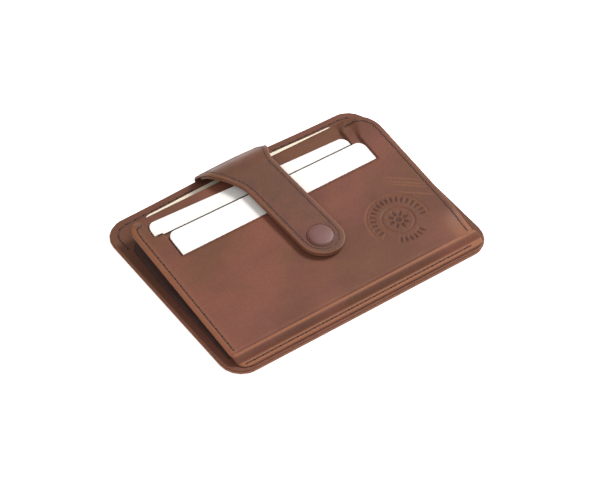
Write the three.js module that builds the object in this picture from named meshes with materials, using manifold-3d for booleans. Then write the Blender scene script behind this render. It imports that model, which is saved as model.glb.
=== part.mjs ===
// A leather card wallet lying on its back, with its open top edge towards +Y.
// Millimetres, +Z up, origin at the middle of the back panel's outer face.
import * as THREE from "three";
import { mergeVertices } from "three/addons/utils/BufferGeometryUtils.js";
import Module from "manifold-3d";

const wasm = await Module();
wasm.setup();

// ---- back panel and its lining
const backWidth = 114.5;
const backCorner = 9;
const leather = 1.2; // outer leather of the back
const lining = 0.5; // lining leather
const liningInset = 1; // lining's edge inside the back panel's edge
const layerGap = 0.2; // clear space between the layers of the back

// ---- front block: a tilted stack that turns on the crease along its bottom edge
const creaseInset = 5.75; // crease above the back panel's lower edge
const creaseZ = 4.8;
const frontTilt = Math.atan(0.11);
const frontLeftInset = 3.45; // front panel's side edges inside the back panel's
const frontRightInset = 3.95;
const frontLength = 68.4; // from the crease to the open edge
const mouthDepth = 12.761; // from the open edge to the back panel's upper edge, seen from above
const frontTopLeftCorner = 5;
const frontTopRightCorner = 9;
const frontBottomCorner = 2.5;
const frontLeather = 1.1;
const pocketLeather = 0.4;
const stackGap = 0.12; // clear space between the layers of the stack
const hingeGap = 0.3; // between the front panel and the bottom band
const frontLeft = frontLeftInset - backWidth / 2;
const frontRight = backWidth / 2 - frontRightInset;

// The back panel is as tall as the front block under it and the mouth above need.
const backHeight = creaseInset + frontLength * Math.cos(frontTilt) + mouthDepth;
const backTop = backHeight / 2;
const creaseY = creaseInset - backTop;

// ---- cards, ISO ID-1
const cardWidth = 85.6;
const cardHeight = 54;
const cardCorner = 3.2;
const cardThickness = 0.7;

// ---- slits in the front panel: the lower card stands on its pocket's floor, and the upper slit
// is halfway from the lower slit to the open edge
const slitClearance = 0.5; // beside a card, each side
const pocketFloor = 3.5; // from the crease to the lower card's foot
const lowerCardShown = 10.4; // how far each card stands out of its slit
const upperCardShown = 6.7;
const lowerSlitX = -0.1;
const lowerSlitV = pocketFloor + cardHeight - lowerCardShown;
const upperSlitX = -3.6;
const upperSlitV = (lowerSlitV + frontLength) / 2;

// ---- card in the main pocket, leaning a little on the strap's sewn end
const mainCardX = 0.6;
const mainCardDepth = 4.65; // its top edge below the back panel's upper edge
const mainCardLean = 0.0094; // rise per millimetre

// ---- strap: sewn under its wide root, rising over the open edge, lying along the front
const strapHalfWidth = 8.9;
const strapRootHalfWidth = 13.7;
const strapLeather = 1.1;
const strapLining = 0.7;
const strapGap = 0.2; // between the strap's two layers
const strapLift = 0.6; // its underside above the front panel
const strapSkew = 0.07; // sideways drift of its middle line per millimetre
const bendRadius = 12; // outer face, over the open edge
const riserAngle = THREE.MathUtils.degToRad(52.5);
const riserReach = 2.95; // past the back's upper edge, where the riser's outer face would meet the table
const riserStart = 1.3; // from the fold to the riser's lower end
const foldHeight = 2.6; // of the fold that the strap turns on
const flareLength = 16; // over which the root narrows to the strap
const tailDepth = 8; // sewn length of the root
const tailThickness = 0.9;

// ---- snap fastener
const snapX = 2.4;
const snapV = 26.8;
const capRadius = 5.1;
const capThickness = 0.95;
const capPost = 1.1;
const socketOuter = 4.3;
const socketInner = 2.4;
const socketThickness = 0.9;
const studRadius = 1.8;
const studFlange = 3.4;
const studPost = 1.2;
const rivetRadius = 3;
const fitGap = 0.3; // round a post or a ring in its hole

// ---- bottom band, side gussets and seams
const bandInset = 1.1; // band's lower edge inside the back panel's edge
const bandEndInset = 4.65; // band's ends inside the back panel's side edges
const bandThickness = 1;
const bandFlange = 2.95; // from the back panel's lower edge to the start of the climb
const gussetFold = 4; // how far each side gusset folds inwards
const gussetSheet = 0.45;
const threadWidth = 0.5;
const rimSeamInset = 3.2;
const strapSeamInset = 2;
const frontSeamInset = 2;
const seamLift = 0.1; // thread above the leather it lies on

const brown = new THREE.MeshStandardMaterial({ color: 0x7d4a38, roughness: 0.6 });
const darkBrown = new THREE.MeshStandardMaterial({ color: 0x6a4034, roughness: 0.55 });
const tan = new THREE.MeshStandardMaterial({ color: 0x9a6243, roughness: 0.6 });
const inside = new THREE.MeshStandardMaterial({ color: 0x6b3f38, roughness: 0.8 });
const thread = new THREE.MeshStandardMaterial({ color: 0x4a2415, roughness: 0.9 });
const metal = new THREE.MeshStandardMaterial({ color: 0x8a6a3c, roughness: 0.35, metalness: 0.9 });
const capFinish = new THREE.MeshStandardMaterial({ color: 0x66423b, roughness: 0.4 });
const whiteCard = new THREE.MeshStandardMaterial({ color: 0xf6efe8, roughness: 0.5 });
const creamCard = new THREE.MeshStandardMaterial({ color: 0xf4e6c8, roughness: 0.6 });

const wallet = new THREE.Group();

// The front block's own frame: X across, Y from the crease to the open edge, Z out of the panel.
const frontFrame = new THREE.Group();
frontFrame.position.set(0, creaseY, creaseZ);
frontFrame.rotation.x = frontTilt;
wallet.add(frontFrame);

function addMesh(name, geometry, material, parent = wallet) {
  const mesh = new THREE.Mesh(geometry, material);
  mesh.name = name;
  parent.add(mesh);
}

// A rectangle from (x0, y0) to (x1, y1); corners are the radii at lower left, lower right,
// upper right and upper left.
function roundedRectangle(x0, y0, x1, y1, corners) {
  const [a, b, c, d] = corners;
  const quarter = Math.PI / 2;
  const shape = new THREE.Shape();
  shape.moveTo(x0 + a, y0);
  shape.lineTo(x1 - b, y0);
  shape.absarc(x1 - b, y0 + b, b, -quarter, 0);
  shape.lineTo(x1, y1 - c);
  shape.absarc(x1 - c, y1 - c, c, 0, quarter);
  shape.lineTo(x0 + d, y1);
  shape.absarc(x0 + d, y1 - d, d, quarter, 2 * quarter);
  shape.lineTo(x0, y0 + a);
  shape.absarc(x0 + a, y0 + a, a, 2 * quarter, 3 * quarter);
  return shape;
}

// A flat sheet: the shape, from height z up to z + thickness.
function sheet(shape, z, thickness) {
  const options = { depth: thickness, bevelEnabled: false, curveSegments: 8 };
  return new THREE.ExtrudeGeometry(shape, options).translate(0, 0, z);
}

function signedVolume(points, triangles) {
  let sum = 0;
  for (const [a, b, c] of triangles) {
    sum += points[a].dot(new THREE.Vector3().crossVectors(points[b], points[c])) / 6;
  }
  return sum;
}

// Triangles over a flat outline, facing the side from which it runs anticlockwise.
function capTriangles(outline) {
  const normal = new THREE.Vector3();
  outline.forEach((point, i) => {
    normal.add(new THREE.Vector3().crossVectors(point, outline[(i + 1) % outline.length]));
  });
  const u = outline[1].clone().sub(outline[0]).normalize();
  const v = new THREE.Vector3().crossVectors(normal.normalize(), u);
  const flat = outline.map((point) => new THREE.Vector2(point.dot(u), point.dot(v)));
  return THREE.ShapeUtils.triangulateShape(flat, []);
}

// A closed skin over a row of matching outlines, with a flat cap on each end.
function loft(sections) {
  const n = sections[0].length;
  const points = sections.flat();
  const triangles = [];
  for (let s = 0; s < sections.length - 1; s++) {
    for (let i = 0; i < n; i++) {
      const a = s * n + i;
      const b = s * n + ((i + 1) % n);
      triangles.push([a, b, b + n], [a, b + n, a + n]);
    }
  }
  const last = (sections.length - 1) * n;
  for (const [a, b, c] of capTriangles(sections[0])) triangles.push([a, c, b]);
  for (const [a, b, c] of capTriangles(sections.at(-1))) triangles.push([last + a, last + b, last + c]);
  const outward = signedVolume(points, triangles) > 0;
  const order = outward ? triangles : triangles.map(([a, b, c]) => [a, c, b]);
  const geometry = new THREE.BufferGeometry().setFromPoints(points);
  geometry.setIndex(order.flat());
  geometry.computeVertexNormals();
  return geometry;
}

function toSolid(geometry) {
  const bare = geometry.clone();
  bare.deleteAttribute("normal");
  bare.deleteAttribute("uv");
  const merged = mergeVertices(bare, 1e-4);
  const vertProperties = merged.attributes.position.array;
  const triVerts = new Uint32Array(merged.index.array);
  return new wasm.Manifold(new wasm.Mesh({ numProp: 3, vertProperties, triVerts }));
}

function toGeometry(solid) {
  const mesh = solid.getMesh();
  const geometry = new THREE.BufferGeometry();
  geometry.setAttribute("position", new THREE.BufferAttribute(mesh.vertProperties, 3));
  geometry.setIndex(new THREE.BufferAttribute(mesh.triVerts, 1));
  geometry.computeVertexNormals();
  return geometry;
}

function cut(geometry, ...tools) {
  const solid = tools.reduce((left, tool) => left.subtract(toSolid(tool)), toSolid(geometry));
  return toGeometry(solid);
}

// A round tool or boss whose axis is the front frame's Z, placed in that frame.
function disc(radius, z0, z1, x = snapX, y = snapV) {
  const shape = new THREE.CylinderGeometry(radius, radius, z1 - z0, 32);
  return shape.rotateX(Math.PI / 2).translate(x, y, (z0 + z1) / 2);
}

function turned(profile) {
  const points = profile.map(([r, z]) => new THREE.Vector2(r, z));
  const shape = new THREE.LatheGeometry(points, 32).rotateX(Math.PI / 2);
  return shape.translate(snapX, snapV, 0);
}

// A thread lying along a path: a square bead, standing up along lift at each point.
function bead(path, across, lift) {
  const half = threadWidth / 2;
  const sections = path.map((point, i) => {
    const side = across[i].clone().multiplyScalar(half);
    const up = lift[i].clone().multiplyScalar(threadWidth);
    return [
      point.clone().sub(side),
      point.clone().add(side),
      point.clone().add(side).add(up),
      point.clone().sub(side).add(up),
    ];
  });
  return loft(sections);
}

// A bead at height z on a flat path whose corners are rounded off.
function flatBead(corners, radius, z) {
  const route = new THREE.Path();
  route.moveTo(corners[0].x, corners[0].y);
  for (let i = 1; i < corners.length - 1; i++) {
    const back = corners[i - 1].clone().sub(corners[i]).setLength(radius).add(corners[i]);
    const on = corners[i + 1].clone().sub(corners[i]).setLength(radius).add(corners[i]);
    route.lineTo(back.x, back.y);
    route.quadraticCurveTo(corners[i].x, corners[i].y, on.x, on.y);
  }
  route.lineTo(corners.at(-1).x, corners.at(-1).y);
  const points = route.getPoints(6);
  const path = points.map((p) => new THREE.Vector3(p.x, p.y, z));
  const across = path.map((_, i) => {
    const from = path[Math.max(i - 1, 0)];
    const to = path[Math.min(i + 1, path.length - 1)];
    return new THREE.Vector3(from.y - to.y, to.x - from.x, 0).normalize();
  });
  const lift = path.map(() => new THREE.Vector3(0, 0, 1));
  return bead(path, across, lift);
}

// ---------------------------------------------------------------- back

const liningZ = leather + layerGap;
const liningTop = liningZ + lining;

function strapMiddle(y) {
  const snapY = creaseY + snapV * Math.cos(frontTilt);
  return snapX - strapSkew * (y - snapY);
}

const riserLine = backTop + riserReach;
const foldY = riserLine - foldHeight / Math.tan(riserAngle) - halfStrap() / Math.sin(riserAngle);
const tailEnd = foldY - 1.95;
const tailStart = tailEnd - tailDepth;

function halfStrap() {
  return (strapLeather + strapGap + strapLining) / 2;
}

function addBack() {
  const half = backWidth / 2;
  const corners = [backCorner, backCorner, backCorner, backCorner];
  const outline = roundedRectangle(-half, -backTop, half, backTop, corners);
  addMesh("back_panel", sheet(outline, 0, leather), brown);

  const edge = half - liningInset;
  const top = backTop - liningInset;
  const corner = backCorner - liningInset;
  const bottom = creaseY + hingeGap;
  const shape = roundedRectangle(-edge, bottom, edge, top, [1, 1, corner, corner]);
  const notchHalf = strapRootHalfWidth + 2 * hingeGap;
  const middle = strapMiddle(tailEnd);
  const notchWidth = 2 * notchHalf;
  const notchDepth = 2 * (top - tailStart + hingeGap);
  const notch = new THREE.BoxGeometry(notchWidth, notchDepth, 4 * lining);
  notch.translate(middle, top, liningZ + lining / 2);
  addMesh("back_lining", cut(sheet(shape, liningZ, lining), notch), inside);
}

// The front leather's turned foot: a flange sewn to the back, climbing to the crease.
function addBottomBand() {
  const low = leather + layerGap;
  const climbEnd = creaseY - hingeGap;
  const bandEnd = backWidth / 2 - bandEndInset;
  const bandFoot = bandFlange - backTop; // where the band starts to climb to the crease
  const arcX = backWidth / 2 - backCorner;
  const arcY = -backTop + backCorner;
  const arcRadius = backCorner - bandInset;
  const stops = [arcX, bandEnd - 2.8, bandEnd - 1.2, bandEnd];
  const steps = [...stops.map((stop) => -stop).reverse(), ...stops];
  const sections = steps.map((x) => {
    const beyond = Math.max(Math.abs(x) - arcX, 0);
    const edge = arcY - Math.sqrt(arcRadius ** 2 - beyond ** 2);
    return [
      new THREE.Vector3(x, edge, low),
      new THREE.Vector3(x, bandFoot + 0.6, low),
      new THREE.Vector3(x, climbEnd, creaseZ - frontLeather),
      new THREE.Vector3(x, climbEnd, creaseZ),
      new THREE.Vector3(x, bandFoot, low + bandThickness),
      new THREE.Vector3(x, edge, low + bandThickness),
    ];
  });
  addMesh("bottom_band", loft(sections), tan);

  const seamY = -backTop + rimSeamInset - 0.6;
  const seamEnd = bandEnd - 3.5;
  const line = [new THREE.Vector2(-seamEnd, seamY), new THREE.Vector2(seamEnd, seamY)];
  addMesh("band_thread", flatBead(line, 0, low + bandThickness + seamLift), thread);
}

// One seam follows the rim up the left side, across the top and down the right side.
function addRimThread() {
  const x = backWidth / 2 - rimSeamInset;
  const top = backTop - rimSeamInset;
  const low = creaseY + 2;
  const z = liningTop + seamLift;
  const turn = backCorner - rimSeamInset;
  const stop = strapRootHalfWidth + 1;
  const left = strapMiddle(tailEnd) - stop;
  const right = strapMiddle(tailEnd) + stop;
  const leftSeam = [new THREE.Vector2(-x, low), new THREE.Vector2(-x, top), new THREE.Vector2(left, top)];
  const rightSeam = [new THREE.Vector2(x, low), new THREE.Vector2(x, top), new THREE.Vector2(right, top)];
  addMesh("rim_thread_left", flatBead(leftSeam, turn, z), thread);
  addMesh("rim_thread_right", flatBead(rightSeam, turn, z), thread);
}

// A side gusset: a sheet folded inwards like a V, low at the crease and tall at the open edge.
function addGusset(name, outer, inwards) {
  const underside = (y) => {
    const rise = creaseZ + (y - creaseY) * Math.tan(frontTilt);
    return rise - (frontLeather + stackGap) / Math.cos(frontTilt);
  };
  const ends = [creaseY + 4.5, creaseY + (frontLength - 2) * Math.cos(frontTilt)];
  const sections = ends.map((y) => {
    const low = liningTop + stackGap;
    const high = underside(y);
    const middle = (low + high) / 2;
    const fold = outer + inwards * gussetFold;
    return [
      new THREE.Vector3(outer, y, low),
      new THREE.Vector3(fold, y, middle),
      new THREE.Vector3(outer, y, high),
      new THREE.Vector3(outer, y, high - gussetSheet),
      new THREE.Vector3(fold - inwards * 2 * gussetSheet, y, middle),
      new THREE.Vector3(outer, y, low + gussetSheet),
    ];
  });
  addMesh(name, loft(sections), inside);
}

// ---------------------------------------------------------------- front block

const linerLeft = upperSlitX - cardWidth / 2 - 1.8;
const linerRight = lowerSlitX + cardWidth / 2 + 3.4;
const lowerCardZ = -frontLeather - stackGap - cardThickness;
const lowerLinerZ = lowerCardZ - stackGap - pocketLeather;
const upperCardZ = lowerLinerZ - stackGap - cardThickness;
const upperLinerZ = upperCardZ - stackGap - pocketLeather;

// The distance from the crease at which the stack down to depth clears the back lining.
function lowestStart(depth) {
  const room = creaseZ - liningTop - 2 * stackGap;
  return Math.max((-depth - room) / Math.sin(frontTilt), hingeGap);
}

function addFrontPanel() {
  const reach = cardWidth / 2 + slitClearance;
  const shape = new THREE.Shape();
  const low = frontBottomCorner;
  const [high, highRight] = [frontTopLeftCorner, frontTopRightCorner];
  const quarter = Math.PI / 2;
  shape.moveTo(frontLeft + low, hingeGap);
  shape.lineTo(frontRight - low, hingeGap);
  shape.absarc(frontRight - low, hingeGap + low, low, -quarter, 0);
  shape.lineTo(frontRight, frontLength - highRight);
  shape.absarc(frontRight - highRight, frontLength - highRight, highRight, 0, quarter);
  shape.lineTo(upperSlitX + reach, frontLength);
  shape.lineTo(upperSlitX + reach, upperSlitV);
  shape.lineTo(lowerSlitX + reach, upperSlitV);
  shape.lineTo(lowerSlitX + reach, lowerSlitV);
  shape.lineTo(lowerSlitX - reach, lowerSlitV);
  shape.lineTo(lowerSlitX - reach, upperSlitV);
  shape.lineTo(upperSlitX - reach, upperSlitV);
  shape.lineTo(upperSlitX - reach, frontLength);
  shape.lineTo(frontLeft + high, frontLength);
  shape.absarc(frontLeft + high, frontLength - high, high, quarter, 2 * quarter);
  shape.lineTo(frontLeft, hingeGap + low);
  shape.absarc(frontLeft + low, hingeGap + low, low, 2 * quarter, 3 * quarter);
  const plate = sheet(shape, -frontLeather, frontLeather);
  const through = disc(studPost + fitGap, -2 * frontLeather, frontLeather);
  const recess = disc(rivetRadius + fitGap, -2 * frontLeather, -0.5 * frontLeather);
  addMesh("front_panel", cut(plate, through, recess), brown, frontFrame);
}

// Each card lies between the leather before it and the pocket leather behind it.
function addPockets() {
  const pocket = (v0, v1) => roundedRectangle(linerLeft, v0, linerRight, v1, [1, 1, 1, 1]);
  const lower = pocket(lowestStart(lowerLinerZ), upperSlitV);
  const upper = pocket(lowestStart(upperLinerZ), frontLength);
  const lowerSheet = sheet(lower, lowerLinerZ, pocketLeather);
  const upperSheet = sheet(upper, upperLinerZ, pocketLeather);
  addMesh("lower_pocket_leather", lowerSheet, inside, frontFrame);
  addMesh("upper_pocket_leather", upperSheet, inside, frontFrame);
}

function addFrontThreads() {
  const low = frontBottomCorner + 2;
  const high = frontLength - frontSeamInset;
  const z = seamLift;
  const turnLeft = frontTopLeftCorner - frontSeamInset;
  const turnRight = frontTopRightCorner - frontSeamInset;
  const reach = cardWidth / 2 + slitClearance + 1;
  const left = frontLeft + frontSeamInset;
  const right = frontRight - frontSeamInset;
  const leftSeam = [
    new THREE.Vector2(left, low),
    new THREE.Vector2(left, high),
    new THREE.Vector2(upperSlitX - reach, high),
  ];
  const rightSeam = [
    new THREE.Vector2(right, low),
    new THREE.Vector2(right, high),
    new THREE.Vector2(lowerSlitX + reach, high),
  ];
  addMesh("front_thread_left", flatBead(leftSeam, turnLeft, z), thread, frontFrame);
  addMesh("front_thread_right", flatBead(rightSeam, turnRight, z), thread, frontFrame);
}

// ---------------------------------------------------------------- cards

function cardSheet(x, v0, z) {
  const corners = [cardCorner, cardCorner, cardCorner, cardCorner];
  const half = cardWidth / 2;
  return sheet(roundedRectangle(x - half, v0, x + half, v0 + cardHeight, corners), z, cardThickness);
}

function addCards() {
  const lowerStart = lowerSlitV + lowerCardShown - cardHeight;
  const upperStart = upperSlitV + upperCardShown - cardHeight;
  addMesh("lower_card", cardSheet(lowerSlitX, lowerStart, lowerCardZ), whiteCard, frontFrame);
  addMesh("upper_card", cardSheet(upperSlitX, upperStart, upperCardZ), whiteCard, frontFrame);

  const leaning = new THREE.Group();
  leaning.position.set(0, backTop - mainCardDepth - cardHeight, liningTop + stackGap);
  leaning.rotation.x = Math.atan(mainCardLean);
  wallet.add(leaning);
  addMesh("main_card", cardSheet(mainCardX, 0, 0), creamCard, leaning);
}

// ---------------------------------------------------------------- strap

// The strap's outer face from its tip to the riser's lower end, seen from the side:
// along the front panel, round the bend over the open edge, and down the riser.
function strapRoute() {
  const lift = strapLift + 2 * halfStrap();
  const along = new THREE.Vector2(Math.cos(frontTilt), Math.sin(frontTilt));
  const out = new THREE.Vector2(-along.y, along.x);
  const crease = new THREE.Vector2(creaseY, creaseZ);
  const onFront = (v) => crease.clone().addScaledVector(along, v).addScaledVector(out, lift);
  const down = new THREE.Vector2(Math.cos(riserAngle), -Math.sin(riserAngle));

  // Where the two straight runs would meet, and the bend's tangent points either side of it.
  const start = onFront(0);
  const slope = Math.tan(riserAngle);
  const meetV =
    (slope * (riserLine - start.x) - start.y) / (along.y + slope * along.x);
  const meet = start.clone().addScaledVector(along, meetV);
  const turn = riserAngle + frontTilt;
  const tangent = bendRadius * Math.tan(turn / 2);
  const bendStart = meetV - tangent;
  const centre = onFront(bendStart).addScaledVector(out, -bendRadius);

  const route = [];
  const add = (point, outward) => route.push({ point, outward });
  const tipAngles = [80, 66, 52, 38, 25, 12, 0].map(THREE.MathUtils.degToRad);
  const seamRadius = strapHalfWidth - strapSeamInset;
  for (const angle of tipAngles) {
    add(onFront(snapV - strapHalfWidth * Math.sin(angle)), out);
    const seam = onFront(snapV - seamRadius * Math.sin(angle));
    Object.assign(route.at(-1), { seam, seamHalf: seamRadius * Math.cos(angle) });
  }
  const runs = 9;
  for (let i = 1; i <= runs; i++) {
    add(onFront(snapV + ((bendStart - snapV) * i) / runs), out);
  }
  const bends = 8;
  for (let i = 1; i <= bends; i++) {
    const angle = (turn * i) / bends;
    const outward = out.clone().rotateAround(new THREE.Vector2(), -angle);
    add(centre.clone().addScaledVector(outward, bendRadius), outward);
  }
  const riserOut = new THREE.Vector2(down.y, -down.x).negate();
  const fold = new THREE.Vector2(foldY, foldHeight);
  const foot = fold.clone().addScaledVector(down, -riserStart).addScaledVector(riserOut, halfStrap());
  const top = route.at(-1).point;
  const risers = 3;
  for (let i = 1; i <= risers; i++) {
    add(top.clone().lerp(foot, i / risers), riserOut);
  }

  // Distance along the outer face from the snap, then the half width at each station.
  let length = 0;
  route.forEach((station, i) => {
    if (i > tipAngles.length - 1) length += station.point.distanceTo(route[i - 1].point);
    station.length = length;
  });
  const bendEnd = route[tipAngles.length - 1 + runs + bends].length;
  route.forEach((station, i) => {
    const t = THREE.MathUtils.smoothstep(station.length, bendEnd - flareLength, bendEnd);
    const flare = strapHalfWidth + t * (strapRootHalfWidth - strapHalfWidth);
    station.half = i < tipAngles.length ? strapHalfWidth * Math.cos(tipAngles[i]) : flare;
  });
  return route;
}

// One layer of the strap, between two depths below its outer face.
function strapLayer(route, depthTop, depthBottom) {
  const sections = route.map(({ point, outward, half }) => {
    const at = (side, depth) => {
      const p = point.clone().addScaledVector(outward, -depth);
      return new THREE.Vector3(strapMiddle(point.x) + side * half, p.x, p.y);
    };
    return [at(-1, depthBottom), at(1, depthBottom), at(1, depthTop), at(-1, depthTop)];
  });
  return loft(sections);
}

function addStrap() {
  const route = strapRoute();
  const toFront = new THREE.Matrix4().compose(
    frontFrame.position,
    new THREE.Quaternion().setFromEuler(frontFrame.rotation),
    new THREE.Vector3(1, 1, 1),
  );
  const liningTopDepth = strapLeather + strapGap;
  const lift = strapLift + 2 * halfStrap();
  const postHole = disc(capPost + fitGap, 0, 2 * lift).applyMatrix4(toFront);
  const socketHole = disc(socketOuter + fitGap, 0, 2 * lift).applyMatrix4(toFront);
  const outer = cut(strapLayer(route, 0, strapLeather), postHole);
  const inner = strapLayer(route, liningTopDepth, liningTopDepth + strapLining);
  addMesh("strap_outer", outer, darkBrown);
  addMesh("strap_lining", cut(inner, socketHole), inside);
  addStrapThread(route);

  // The wide root, sewn down between the back panel and the card in the main pocket.
  const middle = strapMiddle(tailEnd);
  const wide = strapRootHalfWidth;
  const tail = roundedRectangle(middle - wide, tailStart, middle + wide, tailEnd, [2, 2, 0.5, 0.5]);
  addMesh("strap_tail", sheet(tail, leather + layerGap, tailThickness), darkBrown);
}

// The seam runs down one edge of the strap, round the tip and back up the other edge.
function addStrapThread(route) {
  const sides = [-1, 1].map((side) =>
    route.map(({ point, outward, half, seam = point, seamHalf = half - strapSeamInset }) => {
      const p = seam.clone().addScaledVector(outward, seamLift);
      const x = strapMiddle(seam.x) + side * seamHalf;
      return { at: new THREE.Vector3(x, p.x, p.y), up: new THREE.Vector3(0, outward.x, outward.y) };
    }),
  );
  const round = [...sides[0].reverse(), ...sides[1]];
  const path = round.map(({ at }) => at);
  const lift = round.map(({ up }) => up);
  const across = path.map((_, i) => {
    const from = path[Math.max(i - 1, 0)];
    const to = path[Math.min(i + 1, path.length - 1)];
    return new THREE.Vector3().crossVectors(lift[i], to.clone().sub(from)).normalize();
  });
  addMesh("strap_thread", bead(path, across, lift), thread);
}

// ---------------------------------------------------------------- snap

function addSnap() {
  const strapTop = strapLift + 2 * halfStrap();
  const capLow = strapTop + stackGap;
  const capHigh = capLow + capThickness;
  const postEnd = strapLift + strapLining + 1.5 * strapGap;
  const cap = turned([
    [0, postEnd],
    [capPost, postEnd],
    [capPost, capLow],
    [capRadius - 0.2, capLow],
    [capRadius, capLow + 0.2],
    [capRadius, capLow + 0.45],
    [capRadius - 0.6, capHigh - 0.15],
    [0.5 * capRadius, capHigh],
    [0, capHigh],
  ]);
  addMesh("snap_cap", cap, capFinish, frontFrame);

  const socketTop = postEnd - stackGap;
  const socketLow = socketTop - socketThickness;
  const socket = turned([
    [socketInner, socketLow],
    [socketOuter, socketLow],
    [socketOuter, socketTop],
    [socketInner, socketTop],
    [socketInner, socketLow],
  ]);
  addMesh("snap_socket", socket, metal, frontFrame);

  const studHigh = socketTop - stackGap;
  const stud = turned([
    [0, -0.5 * frontLeather],
    [studPost, -0.5 * frontLeather],
    [studPost, 0.1],
    [studFlange - 0.2 * studRadius, 0.1],
    [studFlange - 0.2 * studRadius, 0.3],
    [studRadius, 0.3],
    [studRadius, studHigh - 0.3],
    [studRadius - 0.3, studHigh],
    [0, studHigh],
  ]);
  addMesh("snap_stud", stud, metal, frontFrame);
  const rivet = disc(rivetRadius, -frontLeather + 0.05, -0.5 * frontLeather - 0.2);
  addMesh("snap_rivet", rivet, metal, frontFrame);
}

addBack();
addBottomBand();
addRimThread();
addGusset("gusset_left", frontLeft + 0.8, 1);
addGusset("gusset_right", frontRight - 0.8, -1);
addFrontPanel();
addPockets();
addFrontThreads();
addCards();
addStrap();
addSnap();

export default wallet;
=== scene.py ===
import math
from collections import namedtuple

import bmesh
import bpy
import numpy as np
from mathutils import Matrix, Vector


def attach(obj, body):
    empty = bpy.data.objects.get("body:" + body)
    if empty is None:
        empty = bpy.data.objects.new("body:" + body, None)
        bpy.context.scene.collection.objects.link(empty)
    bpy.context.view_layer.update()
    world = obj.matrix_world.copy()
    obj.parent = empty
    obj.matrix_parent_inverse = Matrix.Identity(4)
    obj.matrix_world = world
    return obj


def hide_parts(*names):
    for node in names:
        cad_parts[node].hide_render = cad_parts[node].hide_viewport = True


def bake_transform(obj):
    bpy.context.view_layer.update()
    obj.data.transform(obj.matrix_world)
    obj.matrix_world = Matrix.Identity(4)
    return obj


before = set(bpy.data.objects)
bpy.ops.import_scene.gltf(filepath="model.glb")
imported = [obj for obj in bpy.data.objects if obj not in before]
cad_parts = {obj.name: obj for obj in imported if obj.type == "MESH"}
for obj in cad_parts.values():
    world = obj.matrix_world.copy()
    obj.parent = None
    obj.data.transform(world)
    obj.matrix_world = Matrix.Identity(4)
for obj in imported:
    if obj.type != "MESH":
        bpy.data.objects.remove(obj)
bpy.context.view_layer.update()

# ------------------------------------------------------------------ sizes, in millimetres
BACK_W, BACK_H, BACK_R = 114.5, 86.5, 9.0
LINING_INSET = 0.35
RIM_SEAM_INSET = 3.2
CREASE = np.array([-37.5, 4.8])  # y and z of the line where the front turns up from its foot
TILT = math.atan(0.11)
ALONG = np.array([math.cos(TILT), math.sin(TILT)])
OUT = np.array([-ALONG[1], ALONG[0]])
LEFT, RIGHT, LENGTH = -53.8, 53.3, 68.4
TOP_R, TOP_R_RIGHT = 5.0, 9.0  # the front's two top corners, left and right
CARD_W, CARD_H, CARD_R, CARD_T = 85.6, 54.0, 3.2, 0.7
# A card in a slit: its middle, the slit's line, how much shows, its turn, and its face below the panel's
SlitCard = namedtuple("SlitCard", "x slit shown turn w")
LOWER = SlitCard(x=-0.1, slit=47.0, shown=10.75, turn=-0.014, w=-0.36)
UPPER = SlitCard(x=-3.6, slit=58.75, shown=5.85, turn=-0.044, w=-1.50)
MAIN_X, MAIN_TOP = 0.6, 38.2
CARD_TILT = 0.010  # how much a slit card leans into the panel for each millimetre along it
CARD_ROOM = 0.15  # between a card's back and the leather pressed down under it
EDGE_REACH = 0.6  # how much further the open edge reaches for each millimetre it is pressed down
SNAP_X, SNAP_V = 2.4, 26.8
STRAP_HALF = 8.6
STRAP_LIFT = 0.6  # between the panel and the strap's inner face
LEFT_FLARE, RIGHT_FLARE = 5.9, 4.4
STRAP_OUTER, STRAP_INNER = 1.15, 0.83
LAYER_GAP = 0.02
STRAP_FACE = STRAP_LIFT + STRAP_OUTER + STRAP_INNER + LAYER_GAP
FRONT_SEAM_INSET, STRAP_SEAM_INSET = 2.1, 2.0
BEND_R = 12.0
RISER = math.radians(52.5)  # how steeply the strap comes down past the open edge
RISER_LINE = 46.2  # y at which the riser's line meets the ground
HINGE = np.array([42.944, 2.6])  # y and z of the fold that the strap turns on


def smooth(a, b, x):
    """Rises from 0 at a to 1 at b along 3t^2 - 2t^3."""
    t = np.clip((np.asarray(x, float) - a) / (b - a), 0, 1)
    return t * t * (3 - 2 * t)


def drop_in(depth, r):
    """A quarter circle's drop at a depth in from its start: r - sqrt(r^2 - (r - depth)^2), 0 past r."""
    return np.where(depth < r, r - np.sqrt(np.maximum(r ** 2 - (r - depth) ** 2, 0)), 0)


def distance_along(points):
    """Distance along a line of points, from its first one."""
    return np.concatenate([[0], np.cumsum(np.linalg.norm(np.diff(points, axis=0), axis=1))])


def bow(x, y):
    """How far the strap lifts the back's open edge: a bell across, rising towards the edge."""
    return 1.7 * np.exp(-(((x + 1) / 30) ** 2)) * smooth(6, 44, y) ** 1.6


def settle(x, v):
    """How far the front leather gives inwards at its open edge: a parabola across."""
    across = np.clip(1 - ((x + 6) / 50) ** 2, 0, 1)
    return -0.3 * across * smooth(38, 68.4, v)


def pressed(x, v, z):
    """The lower right corner is pressed down towards the rim: its height above the foot shrinks
    smoothly towards the corner."""
    share = 0.75 * smooth(45, RIGHT, x) * (1 - smooth(0, 15, v))
    return 2.6 + (z - 2.6) * (1 - share)


def on_front(x, v, w):
    """Panel coordinates to the row frame: v along the tilted panel from the crease, w out of it."""
    x, v, w = np.broadcast_arrays(np.asarray(x, float), v, w)
    y = CREASE[0] + v * ALONG[0] + w * OUT[0]
    z = CREASE[1] + v * ALONG[1] + w * OUT[1]
    return np.stack([x, y, pressed(x, v, z)], -1)


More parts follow.
